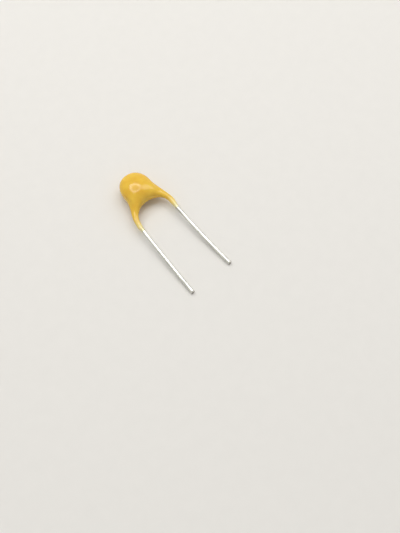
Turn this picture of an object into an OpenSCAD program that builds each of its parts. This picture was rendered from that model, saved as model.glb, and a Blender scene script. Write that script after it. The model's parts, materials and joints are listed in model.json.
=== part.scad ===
// Radial multilayer ceramic capacitor: a ceramic chip with soldered wire leads under a dipped resin coat.
// It lies flat, on the coat's belly and the two lead tips. Origin: middle of its box, on the surface.
// +Y points from the lead tips to the crown, +X goes across the leads, +Z is up. Millimetres.

/* [Leads] */
// Diameter of the tinned wire
lead_d = 0.45; // [0.36:0.01:0.56]
// Distance between the two lead centres where they leave the coat
lead_pitch = 5.08; // [4.22:0.02:5.8]
// Bare length of the longer, left lead
lead_length = 9.55; // [4:0.05:25]
// How much shorter the right lead is cut
lead_trim = 0.14; // [0:0.02:1]
// Angle at which each lead runs outward below the coat, in degrees
lead_splay = 1.5; // [0:0.5:4]
// Bend radius of the wire's centre just below the chip
inner_bend_r = 0.9; // [0.6:0.1:1.2]
// Height over the coat's lower ends of the corner that the wire's lower bend rounds off
kink_rise = 1.3; // [0.9:0.05:1.5]
// How far the wire reaches past the chip's lower edge before it bends
kink_drop = 0.15; // [0.05:0.05:0.3]
// How far the wire's upper end reaches past the chip's middle
lead_reach = 0.5; // [0.3:0.05:0.6]

/* [Chip] */
// Length of the ceramic, end to end between the leads
chip_length = 2; // [1.6:0.1:2.4]
// Width of the ceramic, along the leads
chip_width = 1.25; // [1:0.05:1.5]
// Thickness of the ceramic, through the layers
chip_thickness = 1.1; // [0.8:0.05:1.3]
// Radius of the tumbled corners of the ceramic
chip_corner = 0.1; // [0.05:0.01:0.2]

/* [Electrodes] */
// Number of plates that each electrode has
plate_count = 7; // [3:1:12]
// Thickness of one plate
plate_thickness = 0.02; // [0.01:0.005:0.03]
// Margin from a plate's sides to where the ceramic's sides round off
side_margin = 0.06; // [0:0.02:0.2]
// Gap from a plate's free end to the far end of the ceramic
end_gap = 0.28; // [0.15:0.01:0.4]
// Margin from the top and bottom plates to where the ceramic's faces round off
cover_margin = 0.03; // [0:0.01:0.1]

/* [Terminations and solder] */
// Thickness of the end cap's metal
cap_thickness = 0.05; // [0.03:0.01:0.1]
// How far the cap's band reaches along the chip
cap_band = 0.4; // [0.2:0.05:0.6]
// Thickness of the solder around the wire
solder_skin = 0.04; // [0.02:0.01:0.08]
// Width of the solder fillet at the cap, to each side of the wire
solder_spread = 0.18; // [0.04:0.02:0.24]

/* [Coating] */
// Height of the coat from its lower ends to the crown
coat_height = 7.05; // [6.6:0.05:8.5]
// Resin beside the solder, at the widest line of the head
head_wall = 0.3; // [0.26:0.02:0.8]
// Resin over and under the chip, at the thickest line of the head
head_cover = 0.65; // [0.5:0.05:1]
// Resin between the chip and the top of the crown
crown_wall = 1.225; // [1:0.025:1.5]
// Depth of the round crown, from its top to the widest line of the head
crown_depth = 2; // [1.6:0.1:2.2]
// Share by which the thickest line of the head lies nearer the crown than the arch
belly_bias = 0.18; // [0:0.02:0.3]
// How far the head and the chip sit to the right of the middle of the leads
head_shift = 0.32; // [-0.4:0.02:0.4]
// How far the top of the arch sits to the right of the middle of the leads
arch_shift = 0.32; // [-0.4:0.02:0.4]
// Height of the arch between the legs over the coat's lower ends
arch_height = 2.82; // [2.5:0.02:3.1]
// Resin beside the wire in a leg just below the arch
leg_wall = 0.1; // [0.08:0.01:0.22]
// Share of the flank's height over which its curve stays upright at each end
flank_curve = 0.3; // [0.2:0.02:0.4]
// Resin over and under the wire in a leg just below the arch
leg_cover = 0.13; // [0.1:0.01:0.3]
// Length of a leg, from the foot of the arch to the coat's lower end
leg_length = 1; // [0.5:0.05:1.2]
// Thickness of the thin film at the coat's lower ends
film = 0.03; // [0.02:0.01:0.06]

/* [Hidden] */

// Colours
coat_colour = [0.87, 0.71, 0.30];
wire_colour = [0.80, 0.80, 0.78];
ceramic_colour = [0.62, 0.55, 0.45];
electrode_colour = [0.55, 0.53, 0.50];
cap_colour = [0.78, 0.78, 0.80];
solder_colour = [0.70, 0.71, 0.72];

// Fineness of curves
round_fn = 48;
corner_steps = 4;
coat_sides = 32;
crown_steps = 14;
flank_steps = 14;
leg_steps = 8;
bead_steps = 8;

// The part is laid out first with its lead plane at z = 0 and the left lead's tip at y = 0.
lead_r = lead_d / 2;
coat_low = lead_length;
foot_y = coat_low + leg_length;
arch_y = coat_low + arch_height;
crown_y = coat_low + coat_height;
shoulder_y = crown_y - crown_depth;
chip_y = crown_y - crown_wall - cap_thickness - chip_width / 2;

// Wire: x values are distances from the middle on the lead's own side
wire_gap = chip_length / 2 + cap_thickness + solder_skin + lead_r;
wire_top = chip_y + lead_reach;
inner_bend_y = chip_y - chip_width / 2 - kink_drop;
outer_bend_y = coat_low + kink_rise;
outer_bend_x = lead_pitch / 2 - kink_rise * tan(lead_splay);
outer_setback = kink_rise / cos(lead_splay);
// The wire is drawn a little thinner where it is bent, and the straights reach over the ends of each bend
bend_neck = 0.02;
bend_lap = 0.03;

function inner_x(side) = wire_gap + side * head_shift;
function kink_angle(side) = atan2(outer_bend_x - inner_x(side), inner_bend_y - outer_bend_y);
function kink_length(side) = norm([outer_bend_x - inner_x(side), inner_bend_y - outer_bend_y]);
function back_angle(side) = kink_angle(side) - lead_splay;
function setback(side) = inner_bend_r * tan(kink_angle(side) / 2);
// The lower bend is the wide one that ends level with the coat, so the bare wire is straight
function outer_bend_r(side) = outer_setback / tan(back_angle(side) / 2);
function trim(side) = side > 0 ? lead_trim : 0;
// In the lower bend, at a height over the coat's lower ends: how far the wire leans, and where its centre is
function bend_lean(side, height) = asin(height / outer_bend_r(side) + sin(lead_splay));
function bend_x(side, height) =
  lead_pitch / 2 - outer_bend_r(side) * (cos(lead_splay) - cos(bend_lean(side, height)));

// Plates
plate_span = chip_thickness - 2 * (chip_corner + cover_margin) - plate_thickness;
plate_step = plate_span / (2 * plate_count - 1);

// Coat outline. Each function gives a point for a share f of its stretch, from 0 at the top to 1 below.
head_half = wire_gap + lead_r + solder_skin + head_wall;
head_half_thickness = chip_thickness / 2 + cap_thickness + head_cover;
leg_half = lead_r + leg_wall;
leg_half_thickness = lead_r + leg_cover;
flank_pull = flank_curve * (shoulder_y - foot_y);

function mix(a, b, f) = a + (b - a) * f;
function ease(f) = (1 - cos(180 * f)) / 2;
function bezier(p, f) = pow(1 - f, 3) * p[0] + 3 * f * pow(1 - f, 2) * p[1]
  + 3 * f * f * (1 - f) * p[2] + pow(f, 3) * p[3];

function crown(side, f) = [
  head_shift + side * head_half * sin(90 * f),
  shoulder_y + crown_depth * cos(90 * f)
];
// The flank and the arch both run into the leg along its wire
function flank(side, f) = let (
    lean = bend_lean(side, leg_length),
    shoulder = [head_shift + side * head_half, shoulder_y],
    foot = [side * (bend_x(side, leg_length) + leg_half), foot_y],
    foot_pull = flank_pull * [-side * sin(lean), cos(lean)]
  ) bezier([shoulder, shoulder - [0, flank_pull], foot + foot_pull, foot], f);
function arch(side, f) = let (
    rise = (arch_y - foot_y) * cos(90 * f),
    reach = (bend_x(side, leg_length) - leg_half) * sin(90 * f),
    draw_in = f * rise * tan(bend_lean(side, leg_length))
  ) [arch_shift * pow(cos(90 * f), 2) + side * (reach - draw_in), foot_y + rise];

// A section is [inner point, outer point, half thickness, bias of the thickest line toward the outer point].
crown_share = crown_steps / (crown_steps + flank_steps);
function body_half(f) = mix(head_half_thickness, leg_half_thickness, ease(f));
function body_bias(f) = belly_bias * (1 - f);
function leg_section(side, f) = let (
    height = leg_length * (1 - f),
    y = coat_low + height,
    half = mix(leg_half, lead_r + film, ease(f)),
    half_thickness = mix(leg_half_thickness, lead_r + film, ease(f)),
    middle = side * bend_x(side, height)
  ) [[middle - side * half, y], [middle + side * half, y], half_thickness, 0];
function body_section(side, g) = [
  arch(side, g),
  g < crown_share ? crown(side, g / crown_share) : flank(side, (g - crown_share) / (1 - crown_share)),
  body_half(g),
  body_bias(g)
];
function half_sections(side) = concat(
  [for (i = [0 : crown_steps + flank_steps - 1]) body_section(side, i / (crown_steps + flank_steps))],
  [for (i = [0 : leg_steps]) leg_section(side, i / leg_steps)]
);
left_half = half_sections(-1);
right_half = half_sections(1);
last = len(left_half) - 1;
sections = concat([for (i = [0 : last - 1]) left_half[last - i]], right_half);

function ring(s) = [for (j = [0 : coat_sides - 1]) let (
    turn = 360 * j / coat_sides,
    across = (1 - cos(turn)) / 2,
    p = mix(s[0], s[1], across)
  ) [p[0], p[1], s[2] * sin(turn) * (1 - s[3] * cos(turn))]];
rings = [for (s = sections) ring(s)];
coat_points = [for (r = rings) each r];

// Rest: the belly and the lead tips touch the surface.
rest_tilt = max([for (p = coat_points) atan2(-lead_r - p[2], p[1])]);
tip_overhang = lead_r * norm([sin(lead_splay) * cos(rest_tilt), sin(rest_tilt)]);
crown_reach = max([for (p = coat_points) p[1] * cos(rest_tilt) - p[2] * sin(rest_tilt)]);
middle_y = (crown_reach - tip_overhang) / 2;

module at_rest() {
  translate([0, -middle_y, lead_r * cos(rest_tilt)]) rotate([rest_tilt, 0, 0]) children();
}

module on_side(side) {
  if (side > 0) children(); else mirror([1, 0, 0]) children();
}

// Wire pieces: each grows along +Z and carries its children on at its far end.
module straight(length, lap_start, lap_end) {
  translate([0, 0, -lap_start]) cylinder(d = lead_d, h = length + lap_start + lap_end, $fn = round_fn);
  translate([0, 0, length]) children();
}

// Turns from +Z toward +X, or toward -X for a negative angle
module bend(angle, r) {
  side = angle < 0 ? -1 : 1;
  start = angle < 0 ? 0 : 180 - angle;
  translate([side * r, 0, 0]) {
    rotate([90, 0, 0]) rotate_extrude(angle = abs(angle), start = start, $fn = 2 * round_fn)
      translate([r, 0]) circle(d = lead_d - 2 * bend_neck, $fn = round_fn);
    rotate([0, angle, 0]) translate([-side * r, 0, 0]) children();
  }
}

module wire(side) {
  upper = wire_top - inner_bend_y - setback(side);
  middle = kink_length(side) - setback(side) - outer_setback;
  bare = (coat_low - trim(side)) / cos(lead_splay);
  on_side(side) translate([inner_x(side), wire_top, 0]) rotate([90, 0, 0])
    straight(upper, 0, bend_lap) bend(kink_angle(side), inner_bend_r)
    straight(middle, bend_lap, bend_lap) bend(-back_angle(side), outer_bend_r(side))
    straight(bare, bend_lap, 0);
}

// A closed skin over rings of points, all with as many points
module loft(rings) {
  sides = len(rings[0]);
  end = len(rings) - 1;
  skin = [for (i = [0 : end - 1]) for (j = [0 : sides - 1]) let (
      k = (j + 1) % sides,
      a = i * sides,
      b = a + sides
    ) each [[a + j, a + k, b + k], [a + j, b + k, b + j]]];
  first_cap = [[for (j = [sides - 1 : -1 : 0]) j]];
  last_cap = [[for (j = [0 : sides - 1]) end * sides + j]];
  polyhedron([for (r = rings) each r], concat(skin, first_cap, last_cap));
}

// Section of a block with rounded edges, across X
function block_section(x, width, height, r) = [
  for (quarter = [0 : 3], i = [0 : corner_steps]) let (
    a = 90 * (quarter + i / corner_steps),
    y_side = quarter == 0 || quarter == 3 ? -1 : 1,
    z_side = quarter < 2 ? 1 : -1
  ) [x, y_side * (width / 2 - r) - r * cos(a), z_side * (height / 2 - r) + r * sin(a)]
];

// Toward each end the sections draw in by up to r, and their own corners tighten
function block_rings(size, r) = [
  for (side = [-1, 1], i = [0 : corner_steps]) let (
    a = 90 * (side < 0 ? 1 - i / corner_steps : i / corner_steps),
    inset = r * (1 - cos(a)),
    x = side * (size[0] / 2 - r + r * sin(a))
  ) block_section(x, size[1] - 2 * inset, size[2] - 2 * inset, r - inset / 2)
];

module tumbled_block(size, r) {
  loft(block_rings(size, r));
}

module ceramic_block() {
  translate([head_shift, chip_y, 0]) tumbled_block([chip_length, chip_width, chip_thickness], chip_corner);
}

// Plates of one electrode: every second layer, from the ceramic's end on that side
module plates(side) {
  length = chip_length - end_gap;
  width = chip_width - 2 * (chip_corner + side_margin);
  first = -plate_span / 2 + (side > 0 ? plate_step : 0);
  for (i = [0 : plate_count - 1])
    translate([head_shift + side * end_gap / 2, chip_y, first + 2 * i * plate_step])
      cube([length, width, plate_thickness], center = true);
}

module cap_block(side) {
  grow = 2 * cap_thickness;
  outer = [chip_length + grow, chip_width + grow, chip_thickness + grow];
  intersection() {
    translate([head_shift, chip_y, 0]) tumbled_block(outer, chip_corner + cap_thickness);
    translate([head_shift + side * (chip_length / 2 + grow - (cap_band + grow) / 2), chip_y, 0])
      cube([cap_band + grow, 2 * chip_width, 2 * chip_thickness], center = true);
  }
}

// Solder bead: a fillet from the cap up and round the wire, rounded off at both ends
bead_r = lead_r + solder_skin;
bead_depth = wire_gap + bead_r - chip_length / 2 - cap_thickness;
bead_centre = bead_depth - bead_r;
// The fillet stops where the cap rounds off
bead_foot = max(bead_r, min(bead_r + solder_spread, chip_thickness / 2 - chip_corner));
bead_half_length = chip_width / 2 - chip_corner;
// The bead's plan is a blunt half-oval, cut off level by the profile where the wire stands proudest
bead_bluntness = 0.5;
bead_plan_depth = 1.15 * bead_depth;

function bead_profile() = let (upper = concat(
    [for (i = [0 : bead_steps]) let (a = 90 * i / bead_steps)
      [bead_centre * (1 - cos(a)), mix(bead_foot, bead_r, sin(a))]],
    [for (i = [1 : bead_steps]) let (a = 90 - 90 * i / bead_steps)
      [bead_centre + bead_r * cos(a), bead_r * sin(a)]]
  )) concat(upper, [for (i = [1 : len(upper) - 1]) let (p = upper[len(upper) - 1 - i]) [p[0], -p[1]]]);

function bead_plan() = [for (i = [0 : 2 * bead_steps]) let (a = 180 * i / (2 * bead_steps))
  [bead_plan_depth * pow(sin(a), bead_bluntness), -bead_half_length * cos(a)]];

module bead(side) {
  on_side(side) translate([inner_x(side) - bead_centre, chip_y, 0]) intersection() {
    rotate([90, 0, 0]) linear_extrude(2 * chip_width, center = true) polygon(bead_profile());
    linear_extrude(2 * chip_thickness, center = true) polygon(bead_plan());
  }
}

module coat_shell() {
  loft(rings);
}

module lead(side) {
  color(wire_colour) at_rest() wire(side);
}

module electrodes(side) {
  color(electrode_colour) at_rest() plates(side);
}

module ceramic_body() {
  color(ceramic_colour) at_rest() difference() {
    ceramic_block();
    plates(-1);
    plates(1);
  }
}

module termination(side) {
  color(cap_colour) at_rest() difference() {
    cap_block(side);
    ceramic_block();
  }
}

module solder(side) {
  color(solder_colour) at_rest() difference() {
    bead(side);
    wire(side);
  }
}

module coating() {
  color(coat_colour) at_rest() difference() {
    coat_shell();
    ceramic_block();
    for (side = [-1, 1]) {
      cap_block(side);
      bead(side);
      wire(side);
    }
  }
}

coating();
ceramic_body();
electrodes(-1);  // electrodes_left
electrodes(1);  // electrodes_right
termination(-1);  // termination_left
termination(1);  // termination_right
solder(-1);  // solder_left
solder(1);  // solder_right
lead(-1);  // lead_left
lead(1);  // lead_right
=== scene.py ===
import json
import math

import bmesh
import bpy
from bpy.props import FloatProperty, FloatVectorProperty, IntProperty, PointerProperty
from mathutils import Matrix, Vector


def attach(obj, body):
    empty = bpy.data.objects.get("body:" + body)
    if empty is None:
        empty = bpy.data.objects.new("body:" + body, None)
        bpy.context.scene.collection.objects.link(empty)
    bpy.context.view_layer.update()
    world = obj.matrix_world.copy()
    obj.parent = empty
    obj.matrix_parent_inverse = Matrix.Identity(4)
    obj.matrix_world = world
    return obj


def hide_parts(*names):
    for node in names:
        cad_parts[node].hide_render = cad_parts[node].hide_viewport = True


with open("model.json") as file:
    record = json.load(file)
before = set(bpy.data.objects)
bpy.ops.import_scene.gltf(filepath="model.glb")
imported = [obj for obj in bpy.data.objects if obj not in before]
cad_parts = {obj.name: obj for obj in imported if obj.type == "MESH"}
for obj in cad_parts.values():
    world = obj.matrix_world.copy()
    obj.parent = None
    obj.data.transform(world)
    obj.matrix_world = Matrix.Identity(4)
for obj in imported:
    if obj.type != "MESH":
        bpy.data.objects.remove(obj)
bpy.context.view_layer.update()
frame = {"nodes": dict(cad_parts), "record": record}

bl_info = {
    "name": "Dipped Ceramic Capacitor",
    "version": (1, 0, 0),
    "blender": (4, 5, 0),
    "location": "3D View > Sidebar > Capacitor",
    "description": "Builds the resin coat, the tinned wires and the finishes of a dipped ceramic capacitor",
    "category": "Object",
}

MM = 0.001
LEFT, RIGHT = -1, 1
SIDE_NAMES = {LEFT: "left", RIGHT: "right"}


# ---------------------------------------------------------------- sums

def linear(code):
    """An sRGB hex colour as linear red, green, blue and alpha."""
    parts = [int(code[i:i + 2], 16) / 255 for i in (0, 2, 4)]
    curve = [c / 12.92 if c <= 0.04045 else ((c + 0.055) / 1.055) ** 2.4 for c in parts]
    return (*curve, 1.0)


def mix(a, b, share):
    return a + (b - a) * share


def ease(share):
    """Runs from 0 to 1 with a slow start and a slow end."""
    return (1 - math.cos(math.pi * share)) / 2


def own(sizes, side, name):
    """A size that each side has its own value of."""
    return getattr(sizes, f"{SIDE_NAMES[side]}_{name}")


# ---------------------------------------------------------------- where the construction puts things

class LeadPlane:
    """The plane of both wires. Heights start at the coat's lower ends, and across runs to the right."""

    def __init__(self, record):
        pins = {m["name"]: m for m in record["mounts"]}
        tops, axes, self.bare = {}, {}, {}
        for side, name in SIDE_NAMES.items():
            pin = pins[f"lead_{name}_pin"]
            axes[side] = Vector(pin["axis"])
            self.bare[side] = pin["dims"]["length_mm"] * MM
            tops[side] = Vector(pin["pos_m"]) - axes[side] * self.bare[side] / 2
        self.wire_r = pins["lead_left_pin"]["dims"]["r_mm"] * MM
        self.middle = (tops[LEFT] + tops[RIGHT]) / 2
        self.pitch = (tops[RIGHT] - tops[LEFT]).length
        self.splay = math.asin(axes[RIGHT].x)
        self.up = -(axes[LEFT] + axes[RIGHT]).normalized()
        self.across = Vector((1, 0, 0))
        self.out = self.across.cross(self.up)

    def point(self, across, height):
        return self.middle + self.across * across + self.up * height

    def spread(self, node, axis):
        """The least and the greatest place of a node along one of the plane's axes."""
        places = [(v.co - self.middle).dot(axis) for v in frame["nodes"][node].data.vertices]
        return min(places), max(places)


PLANE = LeadPlane(frame["record"])
CHIP_ACROSS = sum(PLANE.spread("ceramic_body", PLANE.across)) / 2
CHIP_LOW, CHIP_HIGH = PLANE.spread("ceramic_body", PLANE.up)
CHIP_HEIGHT = (CHIP_LOW + CHIP_HIGH) / 2
CAP_FACE = PLANE.spread("termination_right", PLANE.across)[1] - CHIP_ACROSS


class WirePath:
    """One wire's centre line. Across counts from the middle toward the wire's own side."""

    def __init__(self, side, sizes):
        self.side, self.sizes = side, sizes
        self.bare, self.bow = PLANE.bare[side], own(sizes, side, "bow")
        self.start = PLANE.pitch / 2 + own(sizes, side, "offset")
        self.heading = PLANE.splay + own(sizes, side, "turn")
        self.straight, kink = own(sizes, side, "straight"), own(sizes, side, "kink")
        beside_chip = CAP_FACE + sizes.solder_skin + PLANE.wire_r + side * CHIP_ACROSS
        run = self.start - kink * math.tan(self.heading) - beside_chip
        rise = CHIP_LOW - sizes.kink_drop - kink
        self.between = math.hypot(run, rise)
        self.lean = math.atan2(run, rise)
        self.setback = (kink - self.straight) / math.cos(self.heading)
        self.radius = self.setback / math.tan((self.lean - self.heading) / 2)

    def lean_at(self, height):
        """How far the wire leans inward at a height inside its coat."""
        climb = max(0.0, height - self.straight) / self.radius
        return math.asin(min(climb + math.sin(self.heading), math.sin(self.lean)))

    def across_at(self, height):
        """Where the wire's centre is at a height inside its coat, up to the end of its lower bend."""
        drawn_in = self.radius * (math.cos(self.heading) - math.cos(self.lean_at(height)))
        return self.start - min(height, self.straight) * math.tan(self.heading) - drawn_in

    def points(self):
        """The centre line from the tip to the upper end, as (across, height) pairs of the lead plane."""
        def walk(distance, start, heading, turned=0.0):
            """Even points along a straight or a bend, without its start, and the heading at its end."""
            steps = max(2, round(abs(distance) / self.sizes.step))
            points, at = [], start
            for i in range(steps):
                now = heading + turned * (i + 0.5) / steps
                at = (at[0] - math.sin(now) * distance / steps, at[1] + math.cos(now) * distance / steps)
                points.append(at)
            return points, heading + turned

        bend = self.sizes.inner_bend
        inner_setback = bend * math.tan(self.lean / 2)
        bare, _heading = walk(-self.bare, (self.start, 0.0), self.heading, self.bow)
        path, heading = [*bare[::-1], (self.start, 0.0)], self.heading
        kink = self.lean - heading
        for distance, turned in (
                (self.straight / math.cos(heading), 0.0), (self.radius * kink, kink),
                (self.between - self.setback - inner_setback, 0.0), (bend * self.lean, -self.lean)):
            added, heading = walk(distance, path[-1], heading, turned)
            path += added
        path += walk(CHIP_HEIGHT + self.sizes.reach - path[-1][1], path[-1], heading)[0]
        return [(self.side * across, height) for across, height in path]


# ---------------------------------------------------------------- sizes and colours that a user may change

def length(name, description, millimetres):
    """A length property: its default is given in millimetres."""
    return FloatProperty(
        name=name, description=description, default=millimetres * MM, min=0, precision=6,
        subtype="DISTANCE", unit="LENGTH")


def offset(name, description, millimetres):
    """A length property that may be negative."""
    return FloatProperty(
        name=name, description=description, default=millimetres * MM, precision=6,
        subtype="DISTANCE", unit="LENGTH")


def angle(name, description, degrees):
    return FloatProperty(
        name=name, description=description, default=math.radians(degrees),
        subtype="ANGLE", unit="ROTATION")


def share(name, description, default):
    return FloatProperty(
        name=name, description=description, default=default, min=-1, max=1, subtype="FACTOR")


def amount(name, description, default):
    """A plain number that isn't negative."""
    return FloatProperty(name=name, description=description, default=default, min=0)


def colour(name, description, code):
    return FloatVectorProperty(
        name=name, description=description, default=linear(code), size=4, min=0, max=1, subtype="COLOR")


class CapacitorCoatSizes(bpy.types.PropertyGroup):
    """Sizes of the dipped resin coat"""
    height: length("Height", "From the lower ends to the crown", 7.09)
    head_width: length("Head width", "Across the widest line of the head", 3.857)
    head_thickness: length("Head thickness", "Through the thickest line of the head", 2.5)
    crown_depth: length("Crown depth", "From the crown down to the widest line", 2.225)
    crown_shift: offset("Crown shift", "How far the crown's top lies to the right of the chip", -0.128)
    shoulder_fill: length("Shoulder fill", "How much fuller the right shoulder is than an ellipse", 0.1)
    belly_bias: share("Belly bias", "How far the underside's lowest line lies toward the crown", 0.18)
    crest_bias: share("Crest bias", "The same for the upper side's highest line", -0.3)
    fullness: share("Fullness", "Power of a section's rounding: 1 is an ellipse, less is fuller", 0.85)
    taper: amount("Taper", "How quickly the thickness falls from the head to the legs", 3.1)
    arch_height: length("Arch height", "Of the arch between the legs", 2.9)
    arch_shift: length("Arch shift", "How far the top of the arch lies to the right", 0.19)
    left_leg_width: length("Left leg width", "Of the left leg just below the arch", 0.631)
    right_leg_width: length("Right leg width", "Of the right leg just below the arch", 0.664)
    left_leg_out: length("Left leg out", "How far outside its wire the left leg's resin lies", 0.037)
    right_leg_out: length("Right leg out", "How far outside its wire the right leg's resin lies", 0.066)
    leg_thickness: length("Leg thickness", "Of a leg just below the arch", 0.62)
    leg_length: length("Leg length", "From the foot of the arch to the coat's lower end", 1.268)
    left_head_pull: share("Left head pull", "Share of the left flank that stays upright", 0.417)
    right_head_pull: share("Right head pull", "The same on the right", 0.165)
    left_leg_pull: share("Left leg pull", "Share of the left flank that runs into its leg", 0.352)
    right_leg_pull: share("Right leg pull", "The same on the right", 0.163)
    left_lean: share("Left lean", "Share of the wire's lean that the left flank ends with", 0.356)
    right_lean: share("Right lean", "The same on the right", 0.0)
    paling: length("Paling", "Height over the lower ends at which the resin starts to turn pale", 1.9)
    film: length("Film", "Thickness of the resin where it runs out along a wire", 0.016)
    run_out: length("Run-out", "How far the thin film wanders up and down round the wire", 0.12)
    drip: length("Drip", "How far the bead on the left leg stands out", 0.05)
    swell: length("Swell", "Height of the slow unevenness of the skin", 0.02)
    swell_size: length("Swell size", "Distance between two slow swells", 2.2)
    sides: IntProperty(name="Sides", description="Points round the coat", default=96, min=24, max=256)
    steps: IntProperty(
        name="Steps", description="Sections from the crown to a leg", default=90, min=24, max=240)
    seed: IntProperty(name="Seed", description="Picks another unevenness", default=4, min=0, max=1000)


class CapacitorLeadSizes(bpy.types.PropertyGroup):
    """Sizes of the tinned wires"""
    inner_bend: length("Inner bend", "Radius of the bend below the chip", 0.9)
    kink_drop: length("Kink drop", "How far the wire passes the chip before it bends", 0.15)
    left_kink: length("Left kink", "Height of the left lower bend over the coat's ends", 1.4)
    right_kink: length("Right kink", "The same on the right", 2.2)
    left_straight: length("Left straight", "How far up its coat the left wire stays straight", 0.2)
    right_straight: length("Right straight", "The same on the right", 1.2)
    left_offset: offset("Left offset", "How far out the left wire stands where it leaves the coat", -0.044)
    right_offset: offset("Right offset", "The same on the right", 0.033)
    left_turn: angle("Left turn", "How much more than the splay the left wire leans in at the coat", 1.5)
    right_turn: angle("Right turn", "The same on the right", -2.4)
    left_bow: angle("Left bow", "How far the left wire's direction turns from the coat to its tip", -1.8)
    right_bow: angle("Right bow", "The same on the right", 4.6)
    reach: length("Reach", "How far the wire passes the chip's middle", 0.5)
    solder_skin: length("Solder skin", "Solder between the wire and the end cap", 0.04)
    step: length("Step", "Distance between two rings of points along the wire", 0.06)
    sides: IntProperty(name="Sides", description="Points round the wire", default=40, min=12, max=96)
    tin_swell: length("Tin swell", "How much thicker and thinner the tin gets", 0.007)
    tin_size: length("Tin swell size", "Distance between two swells of the tin", 0.9)
    wander: length("Wander", "How far the wire strays from a straight line", 0.02)
    wander_size: length("Wander size", "Distance over which the wire strays", 3.5)
    press: length("Press", "How far the cutters pressed the tip's upper side down", 0.03)
    shear: length("Shear", "How far back the slanting cut leaves the tip's upper side", 0.06)
    cut_length: length("Cut length", "How far up from the tip the cutters changed the wire", 0.2)
    seed: IntProperty(name="Seed", description="Picks another unevenness", default=7, min=0, max=1000)


class CapacitorColours(bpy.types.PropertyGroup):
    """Colours of the finishes"""
    resin: colour("Resin", "Where the coat is thick", "E8BF3C")
    resin_deep: colour("Deep resin", "In the slow clouds of the coat", "DEAE2E")
    resin_thin: colour("Thin resin", "Where the coat thins over the wire", "E7D280")
    film: colour("Film", "The last of the resin, with the tin showing through", "CFCBA8")
    tin: colour("Tin", "Bright tin on the wire", "DCDCD6")
    tin_dull: colour("Dull tin", "Patches where the tin has dulled", "A9AAA6")
    cut: colour("Cut end", "Copper-cored steel where the wire was cut", "A8A5A0")
    ceramic: colour("Ceramic", "Fired titanate ceramic", "9E8B72")
    nickel: colour("Nickel", "Fired electrode layers", "8C8880")
    cap: colour("End cap", "Plated terminations of the chip", "C4C4C6")
    solder: colour("Solder", "Solder between cap and wire", "B4B6B8")
    floor: colour("Floor", "Pale card under the part", "E3E0DA")


class CapacitorStageSizes(bpy.types.PropertyGroup):
    """Camera, lamps and floor"""
    camera_turn: angle("Camera turn", "0 looks from the lead tips to the crown", -39.7)
    camera_rise: angle("Camera rise", "Angle of the view above the floor", 64)
    camera_distance: length("Camera distance", "From the point on the floor that it aims at", 92.6)
    aim_across: offset("Aim across", "The point aimed at, across the part", -0.08)
    aim_along: offset("Aim along", "The point aimed at, along the part", -6.135)
    lens: FloatProperty(
        name="Lens", description="Focal length in millimetres", default=54.1, min=10, max=300)
    lamp_distance: length("Lamp distance", "From the head of the part to each lamp", 300)
    key_turn: angle("Key turn", "Side that the soft box stands on: 90 degrees is the right", 92)
    key_rise: angle("Key rise", "Angle of the soft box above the floor", 50)
    key_size: length("Key size", "Across the soft box", 170)
    key_power: amount("Key power", "Strength of the soft box, in watts", 0.16)
    ring_turn: angle("Ring turn", "Side that the ring lamp stands on: 180 degrees is the crown", 171)
    ring_rise: angle("Ring rise", "Angle of the ring lamp above the floor", 66)
    ring_outer: length("Ring outer radius", "From the ring lamp's middle to its edge", 138)
    ring_inner: length("Ring inner radius", "From the ring lamp's middle to its tube", 86)
    ring_squat: share("Ring squat", "Height of the ring lamp as a share of its width", 0.86)
    ring_glow: amount("Ring glow", "Strength of the ring lamp's tube", 5.6)
    ring_middle: share("Ring middle", "Strength of the ring lamp's middle as a share of its tube's", 0.35)
    room: amount("Room", "Strength of the pale surroundings", 0.46)
    floor_size: length("Floor size", "Along each side of the floor", 1200)


# ---------------------------------------------------------------- small tools

def add(tree, kind, inputs=(), **settings):
    """Adds one node with its settings. Inputs are in socket order, or a dict of sockets by name or number.
    Each is a plain value, an output socket, or a node that gives its first output."""
    node = tree.nodes.new(kind)
    for name, value in settings.items():
        setattr(node, name, value)
    for name, value in inputs.items() if isinstance(inputs, dict) else enumerate(inputs):
        if isinstance(value, bpy.types.Node):
            value = value.outputs[0]
        if isinstance(value, bpy.types.NodeSocket):
            tree.links.new(value, node.inputs[name])
        else:
            node.inputs[name].default_value = value
    return node


def new_material(name):
    """A material with an empty tree, and that tree."""
    material = bpy.data.materials.new(name)
    material.use_nodes = True
    material.node_tree.nodes.clear()
    return material, material.node_tree


def darker(tone, share_kept):
    """The same hue with less light."""
    return (*(c * share_kept for c in tone[:3]), 1.0)


def object_noise(tree, size, detail=2.0, stretch=(1, 1, 1)):
    """Noise over the piece, with clouds about size metres apart, drawn out along an axis by stretch."""
    place = add(tree, "ShaderNodeTexCoord").outputs["Object"]
    mapped = add(tree, "ShaderNodeMapping", {"Vector": place, "Scale": [1 / (size * s) for s in stretch]})
    return add(tree, "ShaderNodeTexNoise", {"Vector": mapped, "Scale": 1.0, "Detail": detail})


def frozen(source, name):
    """The plain mesh that an object's Geometry Nodes make, in a new object; the source goes."""
    bpy.context.view_layer.update()
    graph = bpy.context.evaluated_depsgraph_get()
    mesh = bpy.data.meshes.new_from_object(source.evaluated_get(graph))
    if not mesh.polygons:
        raise RuntimeError(f"{name} has no faces")
    bpy.data.objects.remove(source)
    mesh.name = name
    piece = bpy.data.objects.new(name, mesh)
    bpy.context.scene.collection.objects.link(piece)
    return piece


def grown(name, guide, tree, values):
    """Runs a Geometry Nodes tree on a guide mesh and returns the plain piece."""
    source = bpy.data.objects.new(name + "_guide", guide)
    bpy.context.scene.collection.objects.link(source)
    modifier = source.modifiers.new("Grow", "NODES")
    modifier.node_group = tree
    sockets = {s.name: s.identifier for s in tree.interface.items_tree if s.in_out == "INPUT"}
    for label, value in values.items():
        modifier[sockets[label]] = value
    return frozen(source, name)


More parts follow.
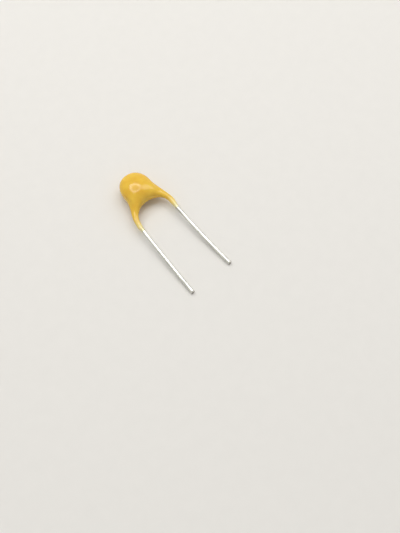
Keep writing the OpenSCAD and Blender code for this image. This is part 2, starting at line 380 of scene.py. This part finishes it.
def geometry_tree(name, inputs):
    """An empty Geometry Nodes tree with named inputs, and their sockets."""
    tree = bpy.data.node_groups.new(name, "GeometryNodeTree")
    tree.interface.new_socket("Guide", in_out="INPUT", socket_type="NodeSocketGeometry")
    for label, kind in inputs.items():
        tree.interface.new_socket(label, in_out="INPUT", socket_type="NodeSocket" + kind)
    tree.interface.new_socket("Geometry", in_out="OUTPUT", socket_type="NodeSocketGeometry")
    return tree, add(tree, "NodeGroupInput").outputs


def finish_tree(tree, geometry, material):
    """Realizes what is instanced, sets the material and ends the tree."""
    real = add(tree, "GeometryNodeRealizeInstances", [geometry])
    painted = add(tree, "GeometryNodeSetMaterial", {"Geometry": real, "Material": material})
    add(tree, "NodeGroupOutput", [painted])


def seeded_noise(tree, place, size, seed, detail=1.0):
    """Noise from -1 to 1 with waves about size apart; the seed picks another stretch of it."""
    scale = add(tree, "ShaderNodeMath", [1.0, size], operation="DIVIDE")
    noise = add(
        tree, "ShaderNodeTexNoise", {"Vector": place, "W": seed, "Scale": scale, "Detail": detail},
        noise_dimensions="4D")
    return add(tree, "ShaderNodeMapRange", [noise, 0.0, 1.0, -1.0, 1.0], clamp=False)


# ---------------------------------------------------------------- materials

def dipped_epoxy(colours):
    """Filled epoxy resin, dipped and cured: a soft gloss skin, paler where it thins over the wire."""
    material, tree = new_material("Dipped epoxy")
    thin = add(tree, "ShaderNodeAttribute", attribute_name="thinness").outputs["Fac"]
    # Settled filler makes slow clouds of colour about 1.6 mm apart
    clouds = add(tree, "ShaderNodeMapRange", [object_noise(tree, 1.6 * MM), 0.35, 0.65])
    body = add(
        tree, "ShaderNodeMix", {0: clouds, 6: colours.resin, 7: colours.resin_deep}, data_type="RGBA")
    # Thin resin lets the pale tin through, and the last of it is a clear film that looks like metal
    paling = add(tree, "ShaderNodeMapRange", [thin, 0.0, 0.7])
    paled = add(
        tree, "ShaderNodeMix", {0: paling, 6: body.outputs[2], 7: colours.resin_thin}, data_type="RGBA")
    run_out = add(tree, "ShaderNodeMapRange", [thin, 0.6, 1.0])
    skin = add(
        tree, "ShaderNodeMix", {0: run_out, 6: paled.outputs[2], 7: colours.film}, data_type="RGBA")
    clear = add(tree, "ShaderNodeMath", [run_out, 3.0], operation="POWER")
    metal = add(tree, "ShaderNodeMath", [clear, 0.6], operation="MULTIPLY")
    # Orange peel about 0.35 mm apart and a few microns deep
    peel = add(tree, "ShaderNodeBump", {
        "Height": object_noise(tree, 0.35 * MM, 1.0), "Distance": 0.004 * MM, "Strength": 0.6})
    # The gloss changes slowly between bright and a little hazy
    gloss = add(tree, "ShaderNodeMapRange", [object_noise(tree, 0.8 * MM), 0.3, 0.7, 0.1, 0.16])
    # A little light goes into the filled resin and comes out up to a quarter of a millimetre away
    resin = add(tree, "ShaderNodeBsdfPrincipled", {
        "Base Color": skin.outputs[2], "Metallic": metal, "Roughness": gloss, "IOR": 1.5, "Normal": peel,
        "Subsurface Weight": 0.15, "Subsurface Radius": (1.0, 0.6, 0.2), "Subsurface Scale": 0.25 * MM})
    add(tree, "ShaderNodeOutputMaterial", [resin])
    return material


def tinned_wire(colours):
    """Drawn copper-cored wire, hot tinned: bright, with faint die lines, dull patches and a grey cut end."""
    material, tree = new_material("Hot-tinned wire")
    from_tip = add(tree, "ShaderNodeAttribute", attribute_name="from_tip").outputs["Fac"]
    # Tin dulls in patches about 0.7 mm wide, longer along the wire
    patches = add(tree, "ShaderNodeMapRange", [object_noise(tree, 0.7 * MM, 3.0, (1, 2.2, 1)), 0.48, 0.72])
    tin = add(
        tree, "ShaderNodeMix", {0: patches, 6: colours.tin, 7: colours.tin_dull}, data_type="RGBA")
    # The cut face, and what the cutters scraped beside it, is rougher and grey
    cut = add(tree, "ShaderNodeMapRange", [from_tip, 0.0, 0.03 * MM, 1.0, 0.0])
    surface = add(
        tree, "ShaderNodeMix", {0: cut, 6: tin.outputs[2], 7: colours.cut}, data_type="RGBA")
    dull = add(tree, "ShaderNodeMapRange", [patches, 0.0, 1.0, 0.2, 0.34])
    rough = add(tree, "ShaderNodeMath", [cut, 0.2, dull], operation="MULTIPLY_ADD")
    # Die lines run along the wire, about 0.04 mm apart, drawn coarser than real ones so that they show
    lines = object_noise(tree, 0.04 * MM, 1.0, (1, 60, 1))
    ridges = add(tree, "ShaderNodeBump", {"Height": lines, "Distance": 0.0015 * MM, "Strength": 0.5})
    wire = add(tree, "ShaderNodeBsdfPrincipled", {
        "Base Color": surface.outputs[2], "Metallic": 1.0, "Roughness": rough, "Normal": ridges})
    add(tree, "ShaderNodeOutputMaterial", [wire])
    return material


def fired_ceramic(colours):
    """Tumbled titanate ceramic: matt, with fine dark and pale grain."""
    material, tree = new_material("Fired titanate ceramic")
    # Grain is microns wide in truth; drawn 0.05 mm wide so that it shows
    grain = object_noise(tree, 0.05 * MM, 3.0)
    share_pale = add(tree, "ShaderNodeMapRange", [grain, 0.35, 0.65])
    surface = add(
        tree, "ShaderNodeMix", {0: share_pale, 6: darker(colours.ceramic, 0.7), 7: colours.ceramic},
        data_type="RGBA")
    relief = add(tree, "ShaderNodeBump", {"Height": grain, "Distance": 0.004 * MM, "Strength": 0.4})
    ceramic = add(tree, "ShaderNodeBsdfPrincipled", {
        "Base Color": surface.outputs[2], "Roughness": 0.7, "IOR": 2.0, "Normal": relief})
    add(tree, "ShaderNodeOutputMaterial", [ceramic])
    return material


def plated_metal(name, tone, grain_size, grain_depth, gloss):
    """A small metal surface with a grain of its own size, depth and gloss."""
    material, tree = new_material(name)
    grain = object_noise(tree, grain_size)
    share_pale = add(tree, "ShaderNodeMapRange", [grain, 0.3, 0.7])
    surface = add(tree, "ShaderNodeMix", {0: share_pale, 6: darker(tone, 0.75), 7: tone}, data_type="RGBA")
    rough = add(tree, "ShaderNodeMapRange", [grain, 0.3, 0.7, gloss, gloss + 0.15])
    relief = add(tree, "ShaderNodeBump", {"Height": grain, "Distance": grain_depth, "Strength": 0.5})
    metal = add(tree, "ShaderNodeBsdfPrincipled", {
        "Base Color": surface.outputs[2], "Metallic": 1.0, "Roughness": rough, "Normal": relief})
    add(tree, "ShaderNodeOutputMaterial", [metal])
    return material


def pale_card(colours):
    """Plain card under the part, with a barely visible fibre mottle."""
    material, tree = new_material("Pale card")
    mottle = add(tree, "ShaderNodeMapRange", [object_noise(tree, 1.5 * MM, 4.0), 0.3, 0.7])
    surface = add(
        tree, "ShaderNodeMix", {0: mottle, 6: darker(colours.floor, 0.985), 7: colours.floor},
        data_type="RGBA")
    card = add(tree, "ShaderNodeBsdfPrincipled", {"Base Color": surface.outputs[2], "Roughness": 0.9})
    add(tree, "ShaderNodeOutputMaterial", [card])
    return material


def lamp_glow(name, power):
    material, tree = new_material(name)
    add(tree, "ShaderNodeOutputMaterial", [add(tree, "ShaderNodeEmission", {"Strength": power})])
    return material


# ---------------------------------------------------------------- the coat

# Points that lie closer than this are joined
SEAM_GAP = 0.00001 * MM
# The skin swells fully from this height over the floor
CLEAR_HEIGHT = 0.5 * MM
# The film: the distance between two waves of its edge, how late it starts to wander along a leg, as a
# power, and the part of its wander by which it reaches past the leg
FILM_WAVE, FILM_LATENESS, FILM_PAST = 0.45 * MM, 4.0, 0.3


class CoatOutline:
    """The coat's sections. Each joins a point of the arch to one of the outer outline, in the lead plane."""

    # The drip on the left leg: where along the leg it hangs, and how far it spreads
    DRIP_AT, DRIP_SPREAD = 0.5, 0.2

    def __init__(self, sizes, wires):
        self.s = sizes
        self.wires = wires
        self.shoulder = sizes.height - sizes.crown_depth
        self.foot = sizes.leg_length

    def leg_middle(self, side, height, share_out=1.0):
        """How far out the middle of a leg lies at a height."""
        return self.wires[side].across_at(height) + own(self.s, side, "leg_out") * share_out

    def crown(self, side, f):
        """From the top of the crown to the widest line of the head."""
        turn = math.pi / 2 * f
        fill = self.s.shoulder_fill * math.sin(2 * turn) if side == RIGHT else 0
        middle = CHIP_ACROSS + self.s.crown_shift * math.cos(turn)
        return (middle + side * (self.s.head_width / 2 * math.sin(turn) + fill),
                self.shoulder + self.s.crown_depth * math.cos(turn) + fill)

    def flank(self, side, f):
        """From the widest line of the head to the outer side of a leg's foot, as one smooth curve."""
        drop = self.shoulder - self.foot
        head_pull, leg_pull = (own(self.s, side, name) * drop for name in ("head_pull", "leg_pull"))
        lean = own(self.s, side, "lean") * self.wires[side].lean_at(self.foot)
        top = CHIP_ACROSS + side * self.s.head_width / 2
        low = side * (self.leg_middle(side, self.foot) + own(self.s, side, "leg_width") / 2)
        corners = [
            (top, self.shoulder), (top, self.shoulder - head_pull),
            (low - side * leg_pull * math.sin(lean), self.foot + leg_pull * math.cos(lean)), (low, self.foot)]
        weights = [(1 - f) ** 3, 3 * f * (1 - f) ** 2, 3 * f * f * (1 - f), f ** 3]
        return tuple(sum(w * c[i] for w, c in zip(weights, corners)) for i in (0, 1))

    def arch(self, side, f):
        """From the top of the arch to the inner side of a leg's foot."""
        turn = math.pi / 2 * f
        rise = (self.s.arch_height - self.foot) * math.cos(turn)
        reach = (self.leg_middle(side, self.foot) - own(self.s, side, "leg_width") / 2) * math.sin(turn)
        draw_in = f * rise * math.tan(self.wires[side].lean_at(self.foot))
        return self.s.arch_shift * math.cos(turn) ** 2 + side * (reach - draw_in), self.foot + rise

    def section(self, inner, outer, half, headness):
        """One section: its two ends, half thickness, the lean of its crests and the paleness of its resin."""
        pale = max(0.0, 1 - (inner[1] + outer[1]) / 2 / self.s.paling)
        return {
            "inner": inner, "outer": outer, "half": half, "belly": self.s.belly_bias * headness,
            "crest": self.s.crest_bias * headness, "pale": pale}

    def head_section(self, side, f):
        inner = self.arch(side, f)
        outer = self.crown(side, 2 * f) if f < 0.5 else self.flank(side, 2 * f - 1)
        half = mix(self.s.leg_thickness, self.s.head_thickness, (1 - f * f) ** self.s.taper) / 2
        return self.section(inner, outer, half, 1 - f)

    def leg_section(self, side, f):
        """Narrows from the foot of the arch to a film round the wire; the left leg ends in a small drip."""
        height = self.foot * (1 - f)
        end = PLANE.wire_r + self.s.film
        middle = side * self.leg_middle(side, height, 1 - ease(f))
        half = mix(own(self.s, side, "leg_width") / 2, end, ease(f))
        drip = self.s.drip * math.exp(-((f - self.DRIP_AT) / self.DRIP_SPREAD) ** 2) if side == LEFT else 0
        inner, outer = (middle - side * half, height), (middle + side * (half + drip), height)
        return self.section(inner, outer, mix(self.s.leg_thickness / 2, end, ease(f)), 0.0)

    def half_sections(self, side):
        leg_steps = self.s.steps // 2
        head = [self.head_section(side, i / self.s.steps) for i in range(self.s.steps)]
        return head + [self.leg_section(side, i / leg_steps) for i in range(leg_steps + 1)]

    def sections(self):
        """From the left leg's end over the head to the right leg's, closed by a point at each end."""
        left, right = self.half_sections(LEFT), self.half_sections(RIGHT)
        chain = left[:0:-1] + right
        closers = []
        for end in (chain[0], chain[-1]):
            middle = ((end["inner"][0] + end["outer"][0]) / 2, end["inner"][1])
            closers.append(self.section(middle, middle, 0.0, 0.0))
        return [closers[0], *chain, closers[1]]


def coat_guide(sizes, wires):
    """A chain of points along the arch, each with its section stored on it."""
    sections = CoatOutline(sizes, wires).sections()
    mesh = bpy.data.meshes.new("coat_guide")
    inner = [PLANE.point(*s["inner"]) for s in sections]
    mesh.from_pydata(inner, [(i, i + 1) for i in range(len(inner) - 1)], [])
    outer = [c for s in sections for c in PLANE.point(*s["outer"])]
    mesh.attributes.new("outer", "FLOAT_VECTOR", "POINT").data.foreach_set("vector", outer)
    for name in ("half", "belly", "crest", "pale"):
        mesh.attributes.new(name, "FLOAT", "POINT").data.foreach_set("value", [s[name] for s in sections])
    return mesh


def coat_tree():
    """Lofts a closed skin over the guide's sections, then lets it swell and run out along the wires."""
    tree, given = geometry_tree("Dipped coat", {
        "Sides": "Int", "Out": "Vector", "Down": "Vector", "Fullness": "Float", "Swell": "Float",
        "Swell Size": "Float", "Run Out": "Float", "Seed": "Float", "Material": "Material"})
    here = add(tree, "GeometryNodeInputPosition")

    # A grid with a row for each section and a column for each point round it
    rows = add(tree, "GeometryNodeAttributeDomainSize", [given["Guide"]])
    columns = add(tree, "ShaderNodeMath", [given["Sides"], 1.0], operation="ADD")
    grid = add(tree, "GeometryNodeMeshGrid", {
        "Size X": 1.0, "Size Y": 1.0, "Vertices X": rows, "Vertices Y": columns})
    place = add(tree, "ShaderNodeSeparateXYZ", [here]).outputs
    last_row = add(tree, "ShaderNodeMath", [rows, 1.0], operation="SUBTRACT")
    along = add(tree, "ShaderNodeMapRange", [place[0], -0.5, 0.5, 0.0, last_row])
    row = add(tree, "ShaderNodeMath", [along], operation="ROUND")
    turn = add(tree, "ShaderNodeMapRange", [place[1], -0.5, 0.5, 0.0, 2 * math.pi])
    cosine = add(tree, "ShaderNodeMath", [turn], operation="COSINE")
    sine = add(tree, "ShaderNodeMath", [turn], operation="SINE")

    # What the guide holds for each row's section
    held = {}
    for name in ("outer", "half", "belly", "crest", "pale"):
        kind = "FLOAT_VECTOR" if name == "outer" else "FLOAT"
        value = add(tree, "GeometryNodeInputNamedAttribute", {"Name": name}, data_type=kind)
        held[name] = add(
            tree, "GeometryNodeSampleIndex", {"Geometry": given["Guide"], "Value": value, "Index": row},
            data_type=kind)
    inner = add(
        tree, "GeometryNodeSampleIndex", {"Geometry": given["Guide"], "Value": here, "Index": row},
        data_type="FLOAT_VECTOR")

    # Across: from the arch to the outer outline and back, once round a section
    share_across = add(tree, "ShaderNodeMapRange", [cosine, 1.0, -1.0])
    across = add(tree, "ShaderNodeMix", {0: share_across, 4: inner, 5: held["outer"]}, data_type="VECTOR")
    # Up and down: a rounded section, whose highest line lies off its middle by its bias
    upper = add(tree, "ShaderNodeMath", [sine, 0.0], operation="GREATER_THAN")
    bias = add(tree, "ShaderNodeMix", {0: upper, 2: held["belly"], 3: held["crest"]})
    rise = add(tree, "ShaderNodeMath", [sine], operation="ABSOLUTE")
    rounded = add(tree, "ShaderNodeMath", [rise, given["Fullness"]], operation="POWER")
    way = add(tree, "ShaderNodeMath", [sine], operation="SIGN")
    even = add(tree, "ShaderNodeMath", [way, rounded], operation="MULTIPLY")
    lean = add(tree, "ShaderNodeMath", [bias, cosine], operation="MULTIPLY")
    leaning = add(tree, "ShaderNodeMath", [1.0, lean], operation="SUBTRACT")
    shape = add(tree, "ShaderNodeMath", [even, leaning], operation="MULTIPLY")
    lift = add(tree, "ShaderNodeMath", [held["half"], shape], operation="MULTIPLY")
    lifted = add(tree, "ShaderNodeVectorMath", {0: given["Out"], "Scale": lift}, operation="SCALE")
    lofted = add(tree, "ShaderNodeVectorMath", [across.outputs[1], lifted], operation="ADD")
    marked = add(
        tree, "GeometryNodeStoreNamedAttribute",
        {"Geometry": grid, "Name": "thinness", "Value": held["pale"]}, data_type="FLOAT", domain="POINT")
    skin = add(tree, "GeometryNodeSetPosition", {"Geometry": marked, "Position": lofted})
    # The seam's two sides and the points at both ends fall together and are joined
    closed = add(tree, "GeometryNodeMergeByDistance", {"Geometry": skin, "Distance": SEAM_GAP})

    # The skin swells slowly, less where it is thin and not at all where it lies on the floor
    thinness = add(tree, "GeometryNodeInputNamedAttribute", {"Name": "thinness"}, data_type="FLOAT")
    thick = add(tree, "ShaderNodeMath", [1.0, thinness], operation="SUBTRACT")
    floor_gap = add(tree, "ShaderNodeSeparateXYZ", [here]).outputs[2]
    clear = add(tree, "ShaderNodeMapRange", [floor_gap, 0.0, CLEAR_HEIGHT])
    free = add(tree, "ShaderNodeMath", [thick, clear], operation="MULTIPLY")
    most = add(tree, "ShaderNodeMath", [given["Swell"], free], operation="MULTIPLY")
    waves = seeded_noise(tree, here, given["Swell Size"], given["Seed"])
    swell = add(tree, "ShaderNodeMath", [most, waves], operation="MULTIPLY")
    outward = add(tree, "GeometryNodeInputNormal")
    swollen = add(tree, "ShaderNodeVectorMath", {0: outward, "Scale": swell}, operation="SCALE")
    uneven = add(tree, "GeometryNodeSetPosition", {"Geometry": closed, "Offset": swollen})

    # The film's edge wanders up and down round the wire, and reaches a little past the leg
    film = add(tree, "ShaderNodeMath", [thinness, FILM_LATENESS], operation="POWER")
    reach = add(tree, "ShaderNodeMath", [film, given["Run Out"]], operation="MULTIPLY")
    wander = seeded_noise(tree, here, FILM_WAVE, given["Seed"], 2.0)
    mostly_down = add(tree, "ShaderNodeMath", [wander, FILM_PAST], operation="ADD")
    run = add(tree, "ShaderNodeMath", [reach, mostly_down], operation="MULTIPLY")
    down = add(tree, "ShaderNodeVectorMath", {0: given["Down"], "Scale": run}, operation="SCALE")
    run_out = add(tree, "GeometryNodeSetPosition", {"Geometry": uneven, "Offset": down})
    smooth = add(tree, "GeometryNodeSetShadeSmooth", {"Geometry": run_out, "Shade Smooth": True})
    finish_tree(tree, smooth, given["Material"])
    return tree


class CAPACITOR_OT_coat(bpy.types.Operator):
    """Builds the dipped resin coat over the chip and the upper wires"""
    bl_idname = "capacitor.coat"
    bl_label = "Resin Coat"

    def execute(self, context):
        sizes = context.scene.capacitor_coat
        wires = {side: WirePath(side, context.scene.capacitor_leads) for side in SIDE_NAMES}
        coat = grown("resin_coat", coat_guide(sizes, wires), coat_tree(), {
            "Sides": sizes.sides, "Out": PLANE.out, "Down": -PLANE.up, "Fullness": sizes.fullness,
            "Swell": sizes.swell, "Swell Size": sizes.swell_size, "Run Out": sizes.run_out,
            "Seed": float(sizes.seed), "Material": dipped_epoxy(context.scene.capacitor_colours)})
        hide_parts("coating")
        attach(coat, "root")
        return {"FINISHED"}


# ---------------------------------------------------------------- the wires

# An edge of the wire that turns more than this is left sharp
SHARP_EDGE = math.radians(50)


def lead_tree():
    """Draws round wire along a path, with wavy tin, a slight wander and a pressed and sheared tip."""
    tree, given = geometry_tree("Tinned wire", {
        "Radius": "Float", "Sides": "Int", "Out": "Vector", "Up": "Vector", "Tin Swell": "Float",
        "Tin Swell Size": "Float", "Wander": "Float", "Wander Size": "Float", "Wander Start": "Float",
        "Press": "Float", "Shear": "Float", "Cut Length": "Float", "Seed": "Float", "Material": "Material"})
    here = add(tree, "GeometryNodeInputPosition")
    path = add(tree, "GeometryNodeMeshToCurve", [given["Guide"]])
    along = add(tree, "GeometryNodeSplineParameter").outputs["Length"]
    marked = add(
        tree, "GeometryNodeStoreNamedAttribute", {"Geometry": path, "Name": "from_tip", "Value": along},
        data_type="FLOAT", domain="POINT")

    # The wire strays sideways only along its bare length, most at its middle and not at its ends
    free = add(tree, "ShaderNodeMapRange", [along, given["Wander Start"], 0.0])
    rest = add(tree, "ShaderNodeMath", [1.0, free], operation="SUBTRACT")
    both = add(tree, "ShaderNodeMath", [free, rest], operation="MULTIPLY")
    hump = add(tree, "ShaderNodeMath", [both, 4.0], operation="MULTIPLY")
    most = add(tree, "ShaderNodeMath", [given["Wander"], hump], operation="MULTIPLY")
    waves = seeded_noise(tree, here, given["Wander Size"], given["Seed"])
    stray = add(tree, "ShaderNodeMath", [most, waves], operation="MULTIPLY")
    sideways = add(tree, "ShaderNodeCombineXYZ", [stray])
    strayed = add(tree, "GeometryNodeSetPosition", {"Geometry": marked, "Offset": sideways})
    centred = add(
        tree, "GeometryNodeStoreNamedAttribute", {"Geometry": strayed, "Name": "centre", "Value": here},
        data_type="FLOAT_VECTOR", domain="POINT")
    profile = add(
        tree, "GeometryNodeCurvePrimitiveCircle", {"Resolution": given["Sides"], "Radius": given["Radius"]})
    swept = add(tree, "GeometryNodeCurveToMesh", {
        "Curve": centred, "Profile Curve": profile, "Fill Caps": True})
    centre = add(tree, "GeometryNodeInputNamedAttribute", {"Name": "centre"}, data_type="FLOAT_VECTOR")
    off_centre = add(tree, "ShaderNodeVectorMath", [here, centre], operation="SUBTRACT")
    outward = add(tree, "ShaderNodeVectorMath", [off_centre], operation="NORMALIZE")

    # Tin runs into slow swells round and along the wire
    lumps = seeded_noise(tree, here, given["Tin Swell Size"], given["Seed"], 2.0)
    swell = add(tree, "ShaderNodeMath", [given["Tin Swell"], lumps], operation="MULTIPLY")
    swollen = add(tree, "ShaderNodeVectorMath", {0: outward, "Scale": swell}, operation="SCALE")
    uneven = add(tree, "GeometryNodeSetPosition", {"Geometry": swept, "Offset": swollen})

    # The cutters press the upper side of the tip down and shear it off at a slant
    from_tip = add(tree, "GeometryNodeInputNamedAttribute", {"Name": "from_tip"}, data_type="FLOAT")
    near = add(
        tree, "ShaderNodeMapRange", [from_tip, given["Cut Length"], 0.0], interpolation_type="SMOOTHSTEP")
    facing_out = add(tree, "ShaderNodeVectorMath", [outward, given["Out"]], operation="DOT_PRODUCT")
    upper = add(tree, "ShaderNodeMapRange", [facing_out.outputs[1], -1.0, 1.0])
    work = add(tree, "ShaderNodeMath", [near, upper], operation="MULTIPLY")
    inward = add(tree, "ShaderNodeMath", [given["Press"], -1.0], operation="MULTIPLY")
    pressing = add(tree, "ShaderNodeMath", [work, inward], operation="MULTIPLY")
    shearing = add(tree, "ShaderNodeMath", [work, given["Shear"]], operation="MULTIPLY")
    press = add(tree, "ShaderNodeVectorMath", {0: given["Out"], "Scale": pressing}, operation="SCALE")
    slant = add(tree, "ShaderNodeVectorMath", {0: given["Up"], "Scale": shearing}, operation="SCALE")
    shift = add(tree, "ShaderNodeVectorMath", [press, slant], operation="ADD")
    cut = add(tree, "GeometryNodeSetPosition", {"Geometry": uneven, "Offset": shift})
    cleared = add(tree, "GeometryNodeRemoveAttribute", {"Geometry": cut, "Name": "centre"})
    # The cut face keeps a sharp edge, and the rest is smooth
    edge = add(tree, "GeometryNodeInputMeshEdgeAngle")
    sharp = add(tree, "ShaderNodeMath", [edge, SHARP_EDGE], operation="GREATER_THAN")
    smooth = add(
        tree, "GeometryNodeSetShadeSmooth",
        {"Geometry": cleared, "Selection": sharp, "Shade Smooth": False}, domain="EDGE")
    finish_tree(tree, smooth, given["Material"])
    return tree


class CAPACITOR_OT_leads(bpy.types.Operator):
    """Draws both tinned wires along their bent paths"""
    bl_idname = "capacitor.leads"
    bl_label = "Tinned Wires"

    def execute(self, context):
        sizes = context.scene.capacitor_leads
        tree = lead_tree()
        tin = tinned_wire(context.scene.capacitor_colours)
        for side, name in SIDE_NAMES.items():
            points = [PLANE.point(*p) for p in WirePath(side, sizes).points()]
            guide = bpy.data.meshes.new("lead_guide")
            guide.from_pydata(points, [(i, i + 1) for i in range(len(points) - 1)], [])
            lead = grown(f"tinned_lead_{name}", guide, tree, {
                "Radius": PLANE.wire_r, "Sides": sizes.sides, "Out": PLANE.out, "Up": PLANE.up,
                "Tin Swell": sizes.tin_swell, "Tin Swell Size": sizes.tin_size, "Wander": sizes.wander,
                "Wander Size": sizes.wander_size, "Wander Start": PLANE.bare[side], "Press": sizes.press,
                "Shear": sizes.shear, "Cut Length": sizes.cut_length, "Seed": float(sizes.seed + side),
                "Material": tin})
            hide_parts(f"lead_{name}")
            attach(lead, "root")
        return {"FINISHED"}


# ---------------------------------------------------------------- the chip

class CAPACITOR_OT_chip(bpy.types.Operator):
    """Gives the ceramic, the electrodes, the end caps and the solder their finishes"""
    bl_idname = "capacitor.chip"
    bl_label = "Chip Finishes"

    def execute(self, context):
        colours = context.scene.capacitor_colours
        finishes = {
            "ceramic_body": fired_ceramic(colours),
            # Nickel fired from paste: a fine, dull, slightly open grain
            "electrodes": plated_metal("Fired nickel electrode", colours.nickel, 0.03 * MM, 0.002 * MM, 0.45),
            # Tin plated over a fired silver band: an even satin grain
            "termination": plated_metal("Plated end cap", colours.cap, 0.05 * MM, 0.002 * MM, 0.3),
            # Solder that has flowed and set: bright, with slow dimples
            "solder": plated_metal("Flowed solder", colours.solder, 0.18 * MM, 0.006 * MM, 0.15),
        }
        for node, thing in frame["nodes"].items():
            finish = finishes.get(node) or finishes.get(node.rsplit("_", 1)[0])
            if finish:
                thing.data.materials.clear()
                thing.data.materials.append(finish)
        return {"FINISHED"}


# ---------------------------------------------------------------- stage

# Corners of the ring lamp's outline
RING_SEGMENTS = 64


def direction(turn, rise):
    """Unit vector toward a lamp or a camera: turn 0 stands before the lead tips, 90 degrees on the right."""
    return Vector((math.sin(turn) * math.cos(rise), -math.cos(turn) * math.cos(rise), math.sin(rise)))


def facing(thing, aim):
    """Turns a lamp or a camera toward a point."""
    thing.rotation_euler = (aim - thing.location).to_track_quat("-Z", "Y").to_euler()


def soft_box(aim, stage):
    lamp = bpy.data.lights.new("soft_box", "AREA")
    lamp.shape = "DISK"
    lamp.size = stage.key_size
    lamp.energy = stage.key_power
    box = bpy.data.objects.new("soft_box", lamp)
    box.location = aim + direction(stage.key_turn, stage.key_rise) * stage.lamp_distance
    facing(box, aim)
    box.visible_camera = False
    bpy.context.scene.collection.objects.link(box)


def ring_lamp(aim, stage):
    """A round lamp seen at a slant in the gloss: a bright tube round a dim middle."""
    shape = bmesh.new()
    turns = [2 * math.pi * i / RING_SEGMENTS for i in range(RING_SEGMENTS)]
    outer, inner = (
        [shape.verts.new((r * math.cos(a), r * stage.ring_squat * math.sin(a), 0)) for a in turns]
        for r in (stage.ring_outer, stage.ring_inner))
    for i in range(RING_SEGMENTS):
        k = (i + 1) % RING_SEGMENTS
        shape.faces.new((outer[k], outer[i], inner[i], inner[k]))
    middle = shape.faces.new(inner[::-1])
    middle.material_index = 1
    mesh = bpy.data.meshes.new("ring_lamp")
    shape.to_mesh(mesh)
    shape.free()
    mesh.materials.append(lamp_glow("Ring lamp tube", stage.ring_glow))
    mesh.materials.append(lamp_glow("Ring lamp middle", stage.ring_glow * stage.ring_middle))
    lamp = bpy.data.objects.new("ring_lamp", mesh)
    lamp.location = aim + direction(stage.ring_turn, stage.ring_rise) * stage.lamp_distance
    facing(lamp, aim)
    lamp.visible_camera = False
    bpy.context.scene.collection.objects.link(lamp)


class CAPACITOR_OT_stage(bpy.types.Operator):
    """Sets up the floor, the lamps, the pale surroundings and the camera"""
    bl_idname = "capacitor.stage"
    bl_label = "Stage"

    def execute(self, context):
        scene = context.scene
        stage, colours = scene.capacitor_stage, scene.capacitor_colours
        head = PLANE.point(CHIP_ACROSS, CHIP_HEIGHT)
        self.floor(stage.floor_size / 2, colours)
        soft_box(head, stage)
        ring_lamp(head, stage)
        self.surroundings(scene, stage.room, colours.floor)
        self.camera(scene, stage)
        scene.view_settings.view_transform = "Standard"
        return {"FINISHED"}

    def floor(self, half, colours):
        mesh = bpy.data.meshes.new("floor")
        corners = [(-half, -half, 0), (half, -half, 0), (half, half, 0), (-half, half, 0)]
        mesh.from_pydata(corners, [], [(0, 1, 2, 3)])
        mesh.materials.append(pale_card(colours))
        floor = bpy.data.objects.new("floor", mesh)
        bpy.context.scene.collection.objects.link(floor)

    def surroundings(self, scene, power, backdrop):
        """An even white room, seen in the floor's colour by the camera and in gloss."""
        world = bpy.data.worlds.new("Pale room")
        world.use_nodes = True
        scene.world = world
        tree = world.node_tree
        tree.nodes.clear()
        room = add(tree, "ShaderNodeBackground", {"Color": (1, 1, 1, 1), "Strength": power})
        seen = add(tree, "ShaderNodeBackground", {"Color": backdrop, "Strength": 1.0})
        ray = add(tree, "ShaderNodeLightPath").outputs
        gloss = add(
            tree, "ShaderNodeMath", [ray["Is Glossy Ray"], ray["Is Transmission Ray"]], operation="ADD")
        direct = add(
            tree, "ShaderNodeMath", [ray["Is Camera Ray"], gloss], operation="ADD", use_clamp=True)
        both = add(tree, "ShaderNodeMixShader", [direct, room, seen])
        add(tree, "ShaderNodeOutputWorld", [both])

    def camera(self, scene, stage):
        lens = bpy.data.cameras.new("camera")
        lens.lens = stage.lens
        lens.sensor_width = 36
        lens.clip_start = 1 * MM
        camera = bpy.data.objects.new("camera", lens)
        aim = Vector((stage.aim_across, stage.aim_along, 0))
        camera.location = aim + direction(stage.camera_turn, stage.camera_rise) * stage.camera_distance
        facing(camera, aim)
        scene.collection.objects.link(camera)
        scene.camera = camera


class CAPACITOR_PT_panel(bpy.types.Panel):
    """Sizes, colours and the steps that build the capacitor"""
    bl_idname = "CAPACITOR_PT_panel"
    bl_label = "Dipped Capacitor"
    bl_space_type = "VIEW_3D"
    bl_region_type = "UI"
    bl_category = "Capacitor"

    def draw(self, context):
        for name, (label, group) in GROUPS.items():
            box = self.layout.box()
            box.label(text=label)
            for prop in group.__annotations__:
                box.prop(getattr(context.scene, name), prop)
        for step in STEPS:
            self.layout.operator(step.bl_idname)


GROUPS = {
    "capacitor_coat": ("Coat", CapacitorCoatSizes),
    "capacitor_leads": ("Wires", CapacitorLeadSizes),
    "capacitor_colours": ("Colours", CapacitorColours),
    "capacitor_stage": ("Stage", CapacitorStageSizes),
}
STEPS = (CAPACITOR_OT_coat, CAPACITOR_OT_leads, CAPACITOR_OT_chip, CAPACITOR_OT_stage)


def register():
    for name, (_label, group) in GROUPS.items():
        bpy.utils.register_class(group)
        setattr(bpy.types.Scene, name, PointerProperty(type=group))
    for step in (*STEPS, CAPACITOR_PT_panel):
        bpy.utils.register_class(step)


def unregister():
    for step in reversed((*STEPS, CAPACITOR_PT_panel)):
        bpy.utils.unregister_class(step)
    for name, (_label, group) in GROUPS.items():
        delattr(bpy.types.Scene, name)
        bpy.utils.unregister_class(group)


def main():
    register()
    bpy.ops.capacitor.coat()
    bpy.ops.capacitor.leads()
    bpy.ops.capacitor.chip()
    bpy.ops.capacitor.stage()


if __name__ == "__main__":
    main()
